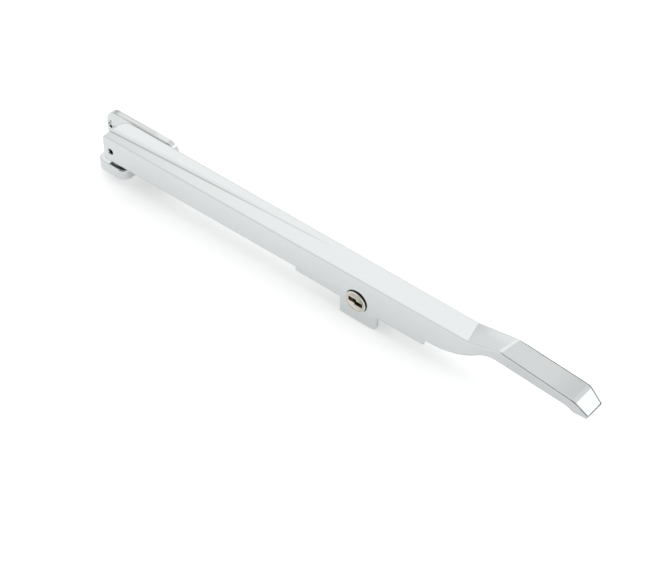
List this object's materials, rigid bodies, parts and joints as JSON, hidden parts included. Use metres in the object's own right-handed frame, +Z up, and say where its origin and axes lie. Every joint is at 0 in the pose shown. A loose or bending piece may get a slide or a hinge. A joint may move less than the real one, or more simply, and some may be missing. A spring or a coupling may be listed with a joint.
{
  "type": "casement stay",
  "caption": "Lockable casement stay: a tapered channel arm with a cranked handle and a side key lock, on a riveted swivel bracket that screws to the sash.",
  "frame": {"origin": "on the bracket's back face, midway between the two screw holes", "axes": "+X along the arm from the pivot towards the handle, +Y out of the bracket's back into the sash, +Z up"},
  "size_m": [0.2658, 0.0181, 0.027],
  "materials": {
    "casting": "satin chrome plate",
    "nickel": "bright nickel plate",
    "steel": "zinc plated",
    "brass": "stamped",
    "nylon": "moulded"
  },
  "bodies": {
    "bracket": {"pivot_bracket": "casting", "thrust_washer": "nylon", "rivet_washer": "steel", "disc_spring": "steel"},
    "swivel": {"swivel_block": "casting"},
    "arm": {"arm_casting": "casting", "cross_pin": "steel", "lock_barrel": "nickel", "barrel_clip": "steel"},
    "lock": {"lock_plug": "nickel", "wafer_1": "brass", "wafer_2": "brass", "wafer_3": "brass", "wafer_4": "brass", "wafer_spring_1": "steel", "wafer_spring_2": "steel", "wafer_spring_3": "steel", "wafer_spring_4": "steel", "cam": "steel", "lock_washer": "steel", "cam_screw": "steel"}
  },
  "joints": [
    {"name": "swing", "type": "hinge", "parent": "bracket", "child": "swivel", "pos_m": [-0.0045, -0.01048, -0.0065], "axis": [0, 0, -1], "range_deg": [0, 90]},
    {"name": "lift", "type": "hinge", "parent": "swivel", "child": "arm", "pos_m": [-0.0045, -0.01048, 0.0009], "axis": [0, -1, 0], "range_deg": [0, 24.8]},
    {"name": "lock_turn", "type": "hinge", "parent": "arm", "child": "lock", "pos_m": [0.1326, -0.01048, -0.00445], "axis": [0, 1, 0], "range_deg": [0, 90]}
  ]
}
